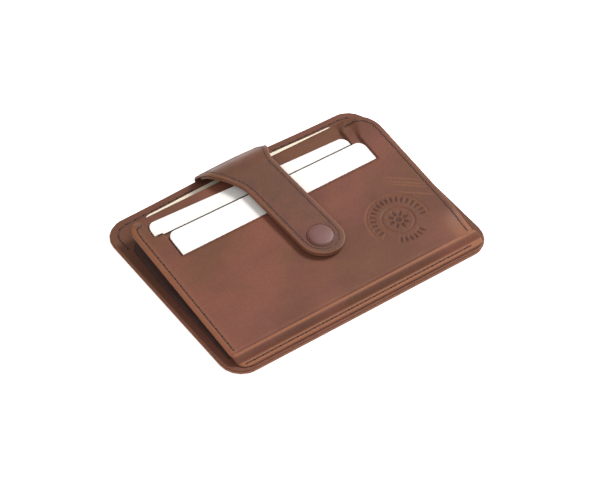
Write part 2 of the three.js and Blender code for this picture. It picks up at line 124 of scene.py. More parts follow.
def inside_distance(x, y, box, r):
    """Distance in from the edge of a rectangle with rounded corners."""
    x0, x1, y0, y1 = box
    qx = np.abs(x - (x0 + x1) / 2) - ((x1 - x0) / 2 - r)
    qy = np.abs(y - (y0 + y1) / 2) - ((y1 - y0) / 2 - r)
    beyond = np.hypot(np.maximum(qx, 0), np.maximum(qy, 0))
    return r - beyond - np.minimum(np.maximum(qx, qy), 0)


# ------------------------------------------------------------------ finishes
def nodes_of(name):
    """A new material, its node tree and its shader."""
    material = bpy.data.materials.new(name)
    material.use_nodes = True
    tree = material.node_tree
    return material, tree, tree.nodes["Principled BSDF"]


def add(tree, kind, **values):
    """A node with its settings; a key that starts with _ sets the input of that name."""
    node = tree.nodes.new(kind)
    for key, value in values.items():
        if key.startswith("_"):
            node.inputs[key[1:].replace("_", " ")].default_value = value
        else:
            setattr(node, key, value)
    return node


def ramp(tree, source, stops):
    """Colours by value: (place, colour) stops with straight runs between."""
    node = tree.nodes.new("ShaderNodeValToRGB")
    tree.links.new(source, node.inputs["Fac"])
    elements = node.color_ramp.elements
    for i, (place, colour) in enumerate(stops):
        element = elements[i] if i < 2 else elements.new(place)
        element.position = place
        element.color = (*colour, 1)
    return node.outputs["Color"]


def mixed(tree, factor, a, b, blend="MIX"):
    """Two colours mixed; each of the three may be a socket or a value."""
    node = tree.nodes.new("ShaderNodeMix")
    node.data_type = "RGBA"
    node.blend_type = blend
    for socket, value in (("Factor", factor), ("A", a), ("B", b)):
        index = {"Factor": 0, "A": 6, "B": 7}[socket]
        if isinstance(value, bpy.types.NodeSocket):
            tree.links.new(value, node.inputs[index])
        else:
            node.inputs[index].default_value = value if index == 0 else (*value, 1)
    return node.outputs[2]


def maths(tree, operation, a, b=None):
    """One sum on two sockets or values."""
    node = tree.nodes.new("ShaderNodeMath")
    node.operation = operation
    for index, value in enumerate((a, b)):
        if isinstance(value, bpy.types.NodeSocket):
            tree.links.new(value, node.inputs[index])
        elif value is not None:
            node.inputs[index].default_value = value
    return node.outputs[0]


def noise(tree, vector, scale, detail=4.0, rough=0.55, distortion=0.0):
    """Soft noise on the given coordinates, about 0.5 on average."""
    node = add(tree, "ShaderNodeTexNoise", _Scale=scale, _Detail=detail, _Roughness=rough,
               _Distortion=distortion)
    tree.links.new(vector, node.inputs["Vector"])
    return node.outputs["Fac"]


def placed(tree, source, scale=(1, 1, 1), turn=0.0):
    """Coordinates stretched along the axes and turned about z."""
    node = add(tree, "ShaderNodeMapping")
    node.inputs["Scale"].default_value = scale
    node.inputs["Rotation"].default_value = (0, 0, turn)
    tree.links.new(source, node.inputs["Vector"])
    return node.outputs["Vector"]


def leather(name, deep, base, olive, pale_tone, rough=0.56, grain=0.18, patch=26.0):
    """Waxed pull-up hide: a deep and an olive tone drift over the base in soft patches,
    fine pores sit in the bump, one attribute pales it towards a pale tone, from scuffing and in places as a
    painted highlight, and the shade attribute darkens it, mostly as painted shade."""
    material, tree, shader = nodes_of(name)
    where = add(tree, "ShaderNodeTexCoord").outputs["Object"]
    broad = noise(tree, where, patch, 3.0, 0.5, 0.4)
    cloudy = noise(tree, placed(tree, where, (1, 1.6, 1), 0.5), patch * 2.2, 3.0, 0.5, 0.3)
    fine = noise(tree, where, 900.0, 4.0, 0.6)
    colour = mixed(tree, ramp(tree, broad, [(0.42, (0, 0, 0)), (0.58, (1, 1, 1))]), base, olive)
    colour = mixed(tree, ramp(tree, cloudy, [(0.42, (0, 0, 0)), (0.78, (0.6, 0.6, 0.6))]), colour, deep)
    # The paling attribute below carries scuffing and, on crests, the stamp's rim, the lower right corner and
    # the strap's bend, partly painted highlight.
    wear = add(tree, "ShaderNodeAttribute", attribute_name="wear").outputs["Fac"]
    paling = maths(tree, "MULTIPLY", wear, maths(tree, "ADD", 0.62, maths(tree, "MULTIPLY", cloudy, 0.75)))
    colour = mixed(tree, paling, colour, pale_tone)
    # Painted shade: the shade attribute darkens the colour towards near black, in places also the leather's
    # own darker colour.
    shade = add(tree, "ShaderNodeAttribute", attribute_name="shade").outputs["Fac"]
    colour = mixed(tree, shade, colour, (0.018, 0.008, 0.006))
    speck = ramp(tree, fine, [(0.35, (0.93, 0.93, 0.93)), (0.7, (1.04, 1.04, 1.04))])
    colour = mixed(tree, 1.0, colour, speck, "MULTIPLY")
    tree.links.new(colour, shader.inputs["Base Color"])
    gloss = maths(tree, "ADD", rough - 0.12, maths(tree, "MULTIPLY", cloudy, 0.26))
    tree.links.new(gloss, shader.inputs["Roughness"])
    pores = add(tree, "ShaderNodeTexVoronoi", _Scale=1500.0)
    tree.links.new(where, pores.inputs["Vector"])
    height = maths(tree, "ADD", maths(tree, "MULTIPLY", pores.outputs["Distance"], 0.6), fine)
    scratch = noise(tree, placed(tree, where, (1, 16, 1), -0.15), 130.0, 2.0, 0.5, 0.2)
    height = maths(tree, "ADD", height, maths(tree, "MULTIPLY", scratch, 0.5))
    bump = add(tree, "ShaderNodeBump", _Strength=grain, _Distance=0.00025)
    tree.links.new(height, bump.inputs["Height"])
    tree.links.new(bump.outputs["Normal"], shader.inputs["Normal"])
    shader.inputs["Specular IOR Level"].default_value = 0.24
    return material


def plain(name, light, dark, rough, scale, metal=0.0, strength=0.1, depth=0.0001):
    """A fine-grained finish: two close tones mixed by noise, which also drives the bump."""
    material, tree, shader = nodes_of(name)
    where = add(tree, "ShaderNodeTexCoord").outputs["Object"]
    fine = noise(tree, where, scale, 4.0, 0.6)
    broad = noise(tree, where, scale / 12, 2.0, 0.5)
    both = maths(tree, "ADD", maths(tree, "MULTIPLY", fine, 0.6), maths(tree, "MULTIPLY", broad, 0.4))
    colour = mixed(tree, ramp(tree, both, [(0.35, (0, 0, 0)), (0.65, (1, 1, 1))]), dark, light)
    # Painted shade: the shade attribute darkens the colour towards a tenth of the dark tone.
    shade = add(tree, "ShaderNodeAttribute", attribute_name="shade").outputs["Fac"]
    colour = mixed(tree, shade, colour, tuple(0.12 * c for c in dark))
    tree.links.new(colour, shader.inputs["Base Color"])
    gloss = maths(tree, "ADD", rough - 0.06, maths(tree, "MULTIPLY", both, 0.12))
    tree.links.new(gloss, shader.inputs["Roughness"])
    shader.inputs["Metallic"].default_value = metal
    bump = add(tree, "ShaderNodeBump", _Strength=strength, _Distance=depth)
    tree.links.new(fine, bump.inputs["Height"])
    tree.links.new(bump.outputs["Normal"], shader.inputs["Normal"])
    return material


PANEL_HIDE = leather("panel_hide", (0.120, 0.041, 0.031), (0.186, 0.063, 0.038), (0.146, 0.056, 0.027),
                     (0.300, 0.110, 0.048))
BACK_HIDE = leather("back_hide", (0.120, 0.043, 0.028), (0.158, 0.058, 0.036), (0.140, 0.056, 0.030),
                    (0.290, 0.110, 0.055), rough=0.58)
STRAP_HIDE = leather("strap_hide", (0.092, 0.036, 0.034), (0.150, 0.056, 0.034), (0.124, 0.053, 0.029),
                     (0.290, 0.120, 0.060), rough=0.50, grain=0.26, patch=62.0)
# The lining's very dark tones are partly its own colour and partly painted shade, matched to the gussets deep
# in their recess.
LINING_HIDE = leather("lining_hide", (0.040, 0.016, 0.014), (0.058, 0.024, 0.020), (0.050, 0.022, 0.017),
                      (0.120, 0.055, 0.035), rough=0.72, grain=0.30, patch=60.0)
THREAD = plain("waxed_thread", (0.095, 0.036, 0.020), (0.050, 0.019, 0.012), 0.7, 3000.0, strength=0.5)
# Needle holes: dark patches on the surface that paint the shade inside the holes, the faint ones less dark.
FAINT_HOLE = plain("faint_needle_hole", (0.062, 0.026, 0.017), (0.046, 0.018, 0.012), 0.9, 2000.0)
HOLE = plain("needle_hole", (0.030, 0.013, 0.010), (0.014, 0.006, 0.005), 0.9, 2000.0)
CAP = plain("lacquered_cap", (0.165, 0.064, 0.054), (0.130, 0.050, 0.042), 0.52, 260.0, strength=0.06)
BRASS = plain("aged_brass", (0.42, 0.29, 0.14), (0.26, 0.17, 0.08), 0.38, 700.0, metal=1.0, strength=0.1)
CARD_WHITE = plain("white_card", (0.865, 0.835, 0.800), (0.835, 0.800, 0.762), 0.5, 220.0, strength=0.03)
CARD_CREAM = plain("cream_card", (0.86, 0.79, 0.64), (0.80, 0.71, 0.54), 0.6, 220.0, strength=0.03)


# ------------------------------------------------------------------ mesh making
def quads(rows, cols, first=0, wrap=False):
    """Faces of a grid of points laid out row by row; wrap joins each row's ends."""
    i, j = np.meshgrid(np.arange(rows - 1), np.arange(cols if wrap else cols - 1), indexing="ij")
    k = (j + 1) % cols
    a = i * cols + j
    b = i * cols + k
    return (np.stack([a, b, b + cols, a + cols], -1).reshape(-1, 4) + first).tolist()


def piece(name, points, faces, material, body=None, slot=None, stands_for=(), marks=None, weld=False):
    """A mesh from points in millimetres, with its per-point attributes, riding on a body."""
    mesh = bpy.data.meshes.new(name)
    points = np.asarray(points, float).reshape(-1, 3)
    mesh.from_pydata((points * 0.001).tolist(), [], faces)
    for key in ("wear", "shade"):
        values = np.zeros(len(points)) if not marks or key not in marks else np.ravel(marks[key])
        attribute = mesh.attributes.new(key, "FLOAT", "POINT")
        attribute.data.foreach_set("value", values.astype(np.float32))
    if weld:
        work = bmesh.new()
        work.from_mesh(mesh)
        bmesh.ops.remove_doubles(work, verts=work.verts, dist=1e-6)
        bmesh.ops.recalc_face_normals(work, faces=work.faces)
        work.to_mesh(mesh)
        work.free()
    mesh.polygons.foreach_set("use_smooth", [True] * len(mesh.polygons))
    mesh.materials.append(material)
    mesh.update()
    made = bpy.data.objects.new(name, mesh)
    bpy.context.scene.collection.objects.link(made)
    if stands_for:
        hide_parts(*stands_for)
    if body:
        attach(made, body)
    return made


def thicken(made, metres, offset=-1.0):
    """Gives a sheet its thickness, inwards from its face unless the offset says otherwise."""
    skin = made.modifiers.new("thickness", "SOLIDIFY")
    skin.thickness = metres
    skin.offset = offset


def sharpen(made, degrees):
    """Keeps edges crisp where two faces meet at more than this angle."""
    made.data.set_sharp_from_angle(angle=math.radians(degrees))


def spread(low, high, edge, step):
    """Positions from low to high: close together within edge of both ends, step apart between."""
    near = edge * (1 - np.cos(np.linspace(0, math.pi / 2, 6)))
    inner = np.linspace(low + edge, high - edge, max(int((high - low - 2 * edge) / step), 2))[1:-1]
    return np.concatenate([low + near, inner, (high - near)[::-1]])


def plate_grid(box, r, step):
    """Rows along y and columns along x over a rectangle whose rows shorten round its corners."""
    x0, x1, y0, y1 = box
    near_ends = spread(y0, y1, 0.5, step)[[0, 2, 4, -5, -3, -1]]
    ys = np.unique(np.concatenate([spread(y0, y1, r, step), near_ends]))
    ts = np.unique(spread(x0, x1, 0.6, step))
    ts = (ts - x0) / (x1 - x0)
    depth = np.minimum(ys - y0, y1 - ys)
    cut = drop_in(depth, r)
    x = (x0 + cut)[:, None] + ts[None, :] * (x1 - x0 - 2 * cut)[:, None]
    y = np.broadcast_to(ys[:, None], x.shape)
    return x, y


def plate(name, box, r, low, high, material, place, round_edge, step=2.5, marks=None, **how):
    """A flat sheet with rounded corners and softened edges: its two faces are grids of (x, y),
    each falling to the wall along a quarter circle, and place gives the points."""
    x, y = plate_grid(box, r, step)
    d = np.clip(inside_distance(x, y, box, r), 0, round_edge)
    fall = drop_in(d, round_edge)
    top = place(x, y, high - fall)
    bottom = place(x, y, low + fall)
    rows, cols = x.shape
    n = rows * cols
    faces = quads(rows, cols) + [f[::-1] for f in quads(rows, cols, n)]
    ring = list(range(cols))
    ring += [i * cols + cols - 1 for i in range(1, rows)]
    ring += [(rows - 1) * cols + j for j in range(cols - 2, -1, -1)]
    ring += [i * cols for i in range(rows - 2, 0, -1)]
    for a, b in zip(ring, ring[1:] + ring[:1]):
        faces.append([b, a, a + n, b + n])
    points = np.concatenate([top.reshape(-1, 3), bottom.reshape(-1, 3)])
    given = {}
    for key, make in (marks or {}).items():
        values = make(x, y)
        given[key] = np.concatenate([values.ravel(), values.ravel()])
    made = piece(name, points, faces, material, marks=given, weld=True, **how)
    sharpen(made, 50)


# ------------------------------------------------------------------ back
back_box = (-BACK_W / 2, BACK_W / 2, -BACK_H / 2, BACK_H / 2)


def bowed(x, y, z):
    """Sheets of the back follow the lift of its open edge."""
    return np.stack([x, y, z + bow(x, y)], -1)


def rim_wear(x, y):
    """Pale in a thin line along the cut edge."""
    d = inside_distance(x, y, back_box, BACK_R)
    return 0.40 * (1 - smooth(0.1, 0.8, d))


def back_shade(x, y):
    """Painted shade: the inside darkens away from the rim, in under the front."""
    d = inside_distance(x, y, back_box, BACK_R)
    return 0.25 * smooth(4, 9, d)


plate("back_outer_leather", back_box, BACK_R, 0.0, 1.22, BACK_HIDE, bowed, 0.35, body="back",
      slot="outer_leather", stands_for=["back_panel"], marks={"wear": rim_wear})
inner_box = (-BACK_W / 2 + LINING_INSET, BACK_W / 2 - LINING_INSET,
             -BACK_H / 2 + LINING_INSET, BACK_H / 2 - LINING_INSET)
plate("back_inner_leather", inner_box, BACK_R - LINING_INSET, 1.24, 1.88, BACK_HIDE, bowed, 0.25, body="back",
      slot="lining_leather", stands_for=["back_lining"], marks={"wear": rim_wear, "shade": back_shade})


# ------------------------------------------------------------------ cards
def turned_about(x, v, card, turn):
    """Panel coordinates turned by a small angle in the panel, about the middle of a card's top edge."""
    top = card.slit + card.shown
    dx, dv = np.asarray(x, float) - card.x, np.asarray(v, float) - top
    return (card.x + dx * math.cos(turn) - dv * math.sin(turn),
            top + dx * math.sin(turn) + dv * math.cos(turn))


def card_on_front(card):
    """A card leans a little across the panel, so that it passes under the lip of its slit, and sits
    a little askew in it."""
    def place(x, v, w):
        x, v = turned_about(x, v, card, card.turn)
        return on_front(x, v, w + card.w + CARD_TILT * (v - card.slit) + settle(x, v))
    return place


def card_sheet(name, x, top, place, material, body, slot):
    """A whole card with rounded corners, its top edge at top, laid down by place."""
    box = (x - CARD_W / 2, x + CARD_W / 2, top - CARD_H, top)
    plate(name, box, CARD_R, -CARD_T, 0.0, material, place, 0.1, 3.0, body=body, slot=slot, stands_for=[body])


for body, slit_card in (("lower_card", LOWER), ("upper_card", UPPER)):
    card_sheet(body + "_sheet", slit_card.x, slit_card.slit + slit_card.shown, card_on_front(slit_card),
               CARD_WHITE, body, "card_white")


def main_place(x, y, z):
    """The main card leans on the strap's sewn end and follows the lift of the back's edge."""
    lean = 2.85 + 0.0094 * (y + 14.5)
    return np.stack([x, y, z + lean + bow(x, y) * (1 - smooth(20, 45, x))], -1)


card_sheet("main_card_sheet", MAIN_X, MAIN_TOP, main_place, CARD_CREAM, "main_card", "card_cream")


# ------------------------------------------------------------------ front leather
def card_dent(x, v, card):
    """The leather under a card, from its slit to the open edge: pressed down to the card's back
    between the card's sides, so that the card can slide out over it, and back up to the panel
    beside it, over a width that grows towards the open edge."""
    slack_left, slack_right, past_ends = 0.35, 0.1, 30
    box = (card.x - CARD_W / 2 - slack_left, card.x + CARD_W / 2 + slack_right,
           card.slit - past_ends, LENGTH + past_ends)
    d = inside_distance(*turned_about(x, v, card, -card.turn), box, CARD_R)
    depth = card.w - CARD_T - CARD_ROOM + CARD_TILT * (v - card.slit)
    return depth * smooth(-0.75 - 5.0 * smooth(card.slit + card.shown, LENGTH, v), -0.05, d)


EMBLEM = np.array([32.0, 19.4])


def emblem(x, v):
    """A round stamp: an eight-petalled flower within a thin ring, and two arcs of short bars."""
    px, py = x - EMBLEM[0], v - EMBLEM[1]
    r = np.hypot(px, py * 1.04)
    angle = np.arctan2(py, px)
    petals = 1 - smooth(-0.35, 0.35, r - 4.3 * (0.66 + 0.34 * np.cos(8 * angle)))
    core = 1 - smooth(-0.25, 0.25, r - 1.25)
    bud = smooth(-0.2, 0.2, r - 1.9) * petals + core
    ring = (1 - smooth(0.15, 0.45, np.abs(r - 6.1))) * 0.8
    bars = smooth(0.0, 0.5, np.cos(30 * angle)) * (1 - smooth(1.0, 1.4, np.abs(r - 9.6)))
    arcs = smooth(-0.45, -0.35, np.sin(angle)) + (1 - smooth(-0.86, -0.78, np.sin(angle)))
    dots = (1 - smooth(0.2, 0.5, np.abs(r - 11.9))) * smooth(-0.3, -0.2, np.sin(angle)) * 0.6
    return np.clip(bud + ring + bars * np.clip(arcs, 0, 1) + dots, 0, 1)


def front_profile():
    """The front leather from the side, foot to crease: flat foot, fillet, climb and rounded crease.
    Returns distance along it, its (y, z) points and the unit vectors out of it."""
    foot = [np.array([-42.15, 2.5]), np.array([-41.2, 2.5])]
    corner, crest = np.array([-39.5, 2.5]), np.array([-37.62, 4.79])
    climb = (crest - corner) / np.linalg.norm(crest - corner)
    points = [foot[0], foot[1]]
    for t in np.linspace(0, 1, 6):
        a, b = corner - np.array([0.8, 0]), corner + climb * 0.8
        points.append((1 - t) ** 2 * a + 2 * t * (1 - t) * corner + t * t * b)
    for t in np.linspace(0, 1, 5)[1:]:
        points.append(corner + climb * (0.8 + t * (np.linalg.norm(crest - corner) - 1.9)))
    end = crest - climb * 1.1
    for t in np.linspace(0, 1, 8)[1:]:
        far = CREASE + ALONG * 1.0
        points.append((1 - t) ** 2 * end + 2 * t * (1 - t) * crest + t * t * far)
    points = np.array(points)
    along = np.gradient(points, axis=0)
    along /= np.linalg.norm(along, axis=1)[:, None]
    out = np.stack([-along[:, 1], along[:, 0]], 1)
    return distance_along(points), points, out


def join_lines(*lines):
    """Sorted positions with near repeats dropped."""
    merged = np.sort(np.concatenate(lines))
    keep = np.concatenate([[True], np.diff(merged) > 0.12])
    return merged[keep]


def front_lines():
    """Where the sheet's columns and rows lie: up to 2 mm apart, closer over the stamp, the crease,
    the cards' edges and the rounded corners, with a row exactly on each cut."""
    fine = 0.28
    border = np.array([0, 0.3, 0.7, 1.2])
    beside_cards = [np.arange(card.x + start, card.x + end, 0.3)
                    for card in (LOWER, UPPER) for start, end in ((-44.4, -42.0), (42.0, 44.5))]
    columns = join_lines(
        np.arange(LEFT, RIGHT + 0.01, 2.0), LEFT + border, RIGHT - border,
        np.arange(EMBLEM[0] - 13, EMBLEM[0] + 20, fine), *beside_cards)
    above = join_lines(
        [1.25, 1.5, 1.75, 2.0, 2.25, 2.6, 3.2], np.arange(4.0, 67.9, 1.6),
        np.arange(EMBLEM[1] - 13, EMBLEM[1] + 13, fine), [LOWER.slit, UPPER.slit],
        np.arange(LOWER.slit + 7, LOWER.slit + 12.2, 0.45),
        np.arange(UPPER.slit + 3.5, UPPER.slit + 8.4, 0.45), np.arange(32.5, 40.5, 0.4),
        LENGTH - TOP_R_RIGHT * (1 - np.cos(np.linspace(0, math.pi / 2, 14))), [LENGTH])
    for cut in (LOWER.slit, UPPER.slit):
        above[np.argmin(np.abs(above - cut))] = cut
    return columns, above


def front_foot(share):
    """The sheet from its sewn foot to the crease: the profile carried across, wider at the foot, with
    rounded ends and softened edges. Returns its grid, wear and shade."""
    length, points, out = front_profile()
    total = length[-1]
    inset = drop_in(length, 4.2)
    lefts = LEFT + 1.0 * (1 - smooth(0, total, length)) + inset
    rights = RIGHT + 1.8 * (1 - smooth(0, total, length)) - inset
    x = lefts[:, None] + share[None, :] * (rights - lefts)[:, None]
    edge = np.minimum(x - lefts[:, None], rights[:, None] - x)
    edge = np.minimum(edge, length[:, None])
    drop = 0.3 * (1 - smooth(0, 0.7, edge))
    grid = np.stack([x, points[:, None, 0] - out[:, None, 0] * drop,
                     points[:, None, 1] - out[:, None, 1] * drop], -1)
    climbing = (smooth(2.4, 3.2, length) * (1 - smooth(total - 1.3, total - 0.2, length)))[:, None]
    # Pale on the flat foot and up at the crest; at the crest partly a painted highlight.
    wear = 0.85 * (1 - climbing) * smooth(0.1, 0.7, edge)
    # Painted shade darkens the climb, less towards the right; the foot's cut edge is darker too.
    shade = 0.30 * climbing * (1 - smooth(30, 50, x)) + 0.25 * (1 - smooth(0, 0.35, length[:, None]))
    return grid, wear, shade


def face_marks(x, v, d, stamp, groove, past_lower):
    """Marks of the panel. Pale along its edges and in four slanting scratches, from scuffing; pale along its
    crest and ridge, the stamp's rim and towards the lower right corner, partly scuffing and partly painted
    highlight. Dark in the stamp, partly the pressed leather's own colour and partly painted shade; painted
    shade in the groove; a painted shadow along the upper slit between the cards; and a little darker towards
    the right."""
    # Crest and ridge: paler, partly pull-up paling at the fold, partly a painted highlight on the rounded
    # crest.
    crest = (1 - smooth(0.3, 1.1, v)) * (1 - 0.8 * smooth(26, 42, x))
    ridge = np.exp(-(((v - 2.4) / 0.35) ** 2)) * (1 - smooth(28, 42, x))
    near_side = 0.40 * (1 - smooth(1.6, 3.6, x - LEFT))
    near_side = near_side + 0.45 * (1 - smooth(0.1, 0.8, d)) * (1 - smooth(52, 62, v))
    # The stamp's rim: paler, partly scuffing, partly a painted highlight on its relief.
    pressed_edge = 4 * stamp * (1 - stamp)
    wear = near_side + 0.65 * crest + 0.12 * ridge + 0.45 * pressed_edge
    # Lower right corner: paler, partly scuffing, partly painted light where the pressed corner faces the
    # lamp.
    corner = smooth(40, 53, x) * (1 - smooth(2, 16, v)) * 0.75
    slant = v + 0.73 * (x - 45.5)
    streaks = sum(np.exp(-(((slant - line) / 0.28) ** 2)) for line in (33.6, 31.4, 29.8, 25.6))
    wear = wear + corner + 0.5 * streaks * smooth(37, 42, x) * (1 - smooth(48, 52, x))
    # Dark in the stamp, partly its own colour, partly painted shade; painted shade in the groove; darker
    # towards the right.
    shade = 0.42 * stamp + 0.2 * groove + 0.10 * smooth(-5, 45, x)
    # Painted shadow: a dark band along the upper slit, between the two cards.
    lip = (1 - smooth(0.5, 1.1, np.abs(v - UPPER.slit))) * (np.abs(x - UPPER.x) < CARD_W / 2)
    return wear, shade + 0.85 * lip * np.where(past_lower, 1, 0)


def front_face(share, v, beyond):
    """The panel above the crease, pressed down behind each card. Returns its grid, wear and shade."""
    cut_left, cut_right = drop_in(LENGTH - v, TOP_R), drop_in(LENGTH - v, TOP_R_RIGHT)
    x = (LEFT + cut_left) + share[None, :] * (RIGHT - LEFT - cut_left - cut_right)
    v = np.broadcast_to(v, x.shape)
    ease = smooth(UPPER.slit - 9, UPPER.slit - 0.5, v) * (1 - smooth(UPPER.slit + 0.5, LENGTH, v))
    askew = LOWER.turn * (x - LOWER.x) * ease
    past_lower = (v > LOWER.slit) | ((v == LOWER.slit) & beyond)
    past_upper = (v > UPPER.slit) | ((v == UPPER.slit) & beyond)
    w = np.where(past_lower, card_dent(x, v + askew, LOWER), 0)
    w = np.where(past_upper, np.minimum(w, card_dent(x, v + askew, UPPER)), w)
    stamp = emblem(x, v)
    d = inside_distance(x, v, (LEFT, RIGHT, -20, LENGTH), np.where(x > 0, TOP_R_RIGHT, TOP_R))
    groove = np.exp(-(((v - 1.75) / 0.28) ** 2)) * (1 - smooth(28, 42, x))
    w = w + settle(x, v) - 0.30 * (1 - smooth(0, 0.75, d)) - 0.12 * groove - 0.30 * stamp
    reach = EDGE_REACH * np.maximum(-w, 0) * smooth(UPPER.slit + 3, LENGTH, v)
    return (on_front(x, v + askew + reach, w), *face_marks(x, v, d, stamp, groove, past_lower))


def front_leather():
    """One sheet from its sewn foot over the crease to the open edge. The row on each cut comes twice,
    with no faces between, and beside the card the two rows weld together again."""
    columns, above = front_lines()
    share = (columns - LEFT) / (RIGHT - LEFT)
    v = np.repeat(above, 1 + np.isin(above, (LOWER.slit, UPPER.slit)))
    beyond = np.concatenate([[False], np.diff(v) == 0])
    foot = front_foot(share)
    face = front_face(share, v[:, None], beyond[:, None])
    after_cut = np.concatenate([np.zeros(len(foot[0]), bool), beyond])
    cols = len(columns)
    faces = []
    for k in range(len(after_cut) - 1):
        if not after_cut[k + 1]:
            faces += quads(2, cols, k * cols)
    grid, wear, shade = (np.concatenate(both) for both in zip(foot, face))
    made = piece("front_outer_leather", grid, faces, PANEL_HIDE, slot="outer_leather",
                 stands_for=["front_panel", "bottom_band"],
                 marks={"wear": np.clip(wear, 0, 1), "shade": np.clip(shade, 0, 1)}, weld=True)
    if made.data.polygons[0].normal.z < 0:
        made.data.flip_normals()
    thicken(made, 0.0003)
    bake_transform(made)


front_leather()


def pocket_lining(name, node, card, x0, x1, low, thickness):
    """The leather behind a card: a thin sheet from low up to just past the slit's line, close under
    the pressed leather, thickened downwards."""
    xs = np.linspace(x0, x1, max(int((x1 - x0) / 4.0), 2))
    x, v = np.meshgrid(xs, np.linspace(low, card.slit + 0.6, 22))
    w = card.w - CARD_T - CARD_ROOM - 0.02 + CARD_TILT * (v - card.slit) + settle(x, v)
    made = piece(name, on_front(x, v, w), quads(*x.shape), LINING_HIDE, "front", "lining_leather", [node])
    thicken(made, thickness * 0.001)


pocket_lining("lower_pocket_lining", "lower_pocket_leather", LOWER, -45.6, 45.4, 1.6, 0.1)
pocket_lining("upper_pocket_lining", "upper_pocket_leather", UPPER, -48.0, 45.4, 11.0, 0.35)


# The front's outer border is two layers: this band is the lower one, and the gussets join it.
def border_band(name, inner, outer, v0, v1):
    """A narrow sheet under the panel's edge, 0.33 to 1.35 mm below its face, pale on its outer side."""
    box = (min(inner, outer), max(inner, outer), v0, v1)

    def place(x, v, w):
        return on_front(x, v, w + settle(x, v) * 0.6)

    def wear(x, v):
        return 0.40 * (1 - smooth(0.2, 0.9, np.abs(x - outer))) + 0.08

    plate(name, box, 0.8, -1.35, -0.33, PANEL_HIDE, place, 0.35, body="front", slot="outer_leather",
          marks={"wear": wear})


border_band("front_border_left", LEFT + 4.5, LEFT + 0.1, 1.2, LENGTH - 3.8)
border_band("front_border_right", RIGHT - 4.5, RIGHT - 0.1, 15.0, LENGTH - 9.0)


def gusset(name, outer, inwards, node, corner_r, start=-34.5):
    """A bellows between the back and the front's border: half a sine across its height, deepest
    halfway up, over a height that grows from the crease to the open edge."""
    y, t = np.meshgrid(np.linspace(start, 29.6, 30), np.linspace(0, 1, 15), indexing="ij")
    low = 1.95
    high = CREASE[1] + (y - CREASE[0]) * math.tan(TILT) - 1.45
    past = np.clip((y - CREASE[0]) / ALONG[0] - (LENGTH - corner_r), 0, corner_r)
    rounding = corner_r - np.sqrt(corner_r ** 2 - past ** 2)
    fold = 4.6 * np.sin(np.pi * t) ** 0.8 * smooth(-38, -20, y)
    foot_out = 1.0 * (1 - smooth(0, 0.3, t)) * (1 - smooth(8, 28, y))
    x = outer + inwards * (0.2 + fold + rounding) - inwards * foot_out
    z = low + (high - low) * t
    grid = np.stack([x, y, z], -1)
    # Painted shade: the bellows darkens towards halfway up, where its fold lies deepest.
    shade = 0.30 * np.sin(np.pi * t)
    faces = quads(*y.shape)
    if inwards > 0:
        faces = [f[::-1] for f in faces]
    made = piece(name, grid, faces, LINING_HIDE, slot="lining_leather", stands_for=[node],
                 marks={"shade": shade})
    thicken(made, 0.0004, 0.0)
    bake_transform(made)


gusset("left_gusset_leather", LEFT + 0.6, 1, "gusset_left", TOP_R)
gusset("right_gusset_leather", RIGHT - 0.6, -1, "gusset_right", TOP_R_RIGHT, -22.0)


# ------------------------------------------------------------------ strap
def middle(y):
    """The strap runs a little askew: its middle line drifts sideways along its length."""
    return SNAP_X - 0.07 * (y - (CREASE[0] + SNAP_V * ALONG[0]))


Route = namedtuple("Route", "points outs halves length shifts")
TIP_ANGLES = (89, 84, 78, 71, 63, 54, 45, 36, 27, 18, 9, 0)


def strap_route():
    """The strap's outer face from the side: tip to bend along the front, round the bend, down the
    riser, round the fold and back along the tail. Returns points, outward directions, half widths,
    distance along and how far the flare shifts the middle sideways."""
    def flat(v):
        return CREASE + ALONG * v + OUT * STRAP_FACE

    down = np.array([math.cos(RISER), -math.sin(RISER)])
    riser_out = np.array([math.sin(RISER), math.cos(RISER)])
    slope = math.tan(RISER)
    start = flat(0)
    meet = (slope * (RISER_LINE - start[0]) - start[1]) / (ALONG[1] + slope * ALONG[0])
    turn = RISER + TILT
    bend_v = meet - BEND_R * math.tan(turn / 2)
    points, outs, halves = [], [], []
    for angle in np.radians(TIP_ANGLES):
        points.append(flat(SNAP_V - STRAP_HALF * math.sin(angle)))
        outs.append(OUT)
        halves.append(STRAP_HALF * math.cos(angle))
    for v in np.arange(SNAP_V + 1.2, bend_v, 1.2):
        points.append(flat(v))
        outs.append(OUT)
    centre = flat(bend_v) - OUT * BEND_R
    for a in np.linspace(0, turn, 18):
        out = np.array([OUT[0] * math.cos(a) + OUT[1] * math.sin(a),
                        -OUT[0] * math.sin(a) + OUT[1] * math.cos(a)])
        points.append(centre + out * BEND_R)
        outs.append(out)
    bend_end = len(points) - 1
    thick = STRAP_OUTER + STRAP_INNER
    fold_in = HINGE + riser_out * thick * 0.5 - down * 0.9
    top = points[-1]
    reach = np.dot(fold_in - top, down)
    for t in np.arange(1.0, reach, 1.0):
        points.append(top + down * t)
        outs.append(riser_out)
    last = top + down * reach
    pivot = last - riser_out * thick
    for a in np.linspace(0, math.pi - RISER - 0.05, 12)[1:]:
        base = math.atan2(riser_out[1], riser_out[0]) - a
        out = np.array([math.cos(base), math.sin(base)])
        points.append(pivot + out * thick)
        outs.append(out)
    end = points[-1]
    tail_out = outs[-1]
    along_tail = np.array([tail_out[1], -tail_out[0]])
    for t in np.arange(1.2, 9.6, 1.2):
        points.append(end + along_tail * t)
        outs.append(tail_out)
    points, outs = np.array(points), np.array(outs)
    length = distance_along(points)
    left = STRAP_HALF + LEFT_FLARE * smooth(length[bend_end] - 21, length[bend_end] - 4, length)
    right = STRAP_HALF + RIGHT_FLARE * smooth(length[bend_end] - 13, length[bend_end] - 1, length)
    left[: len(halves)] = halves
    right[: len(halves)] = halves
    return Route(points, outs, (left + right) / 2, length, (right - left) / 2)


ROUTE = strap_route()


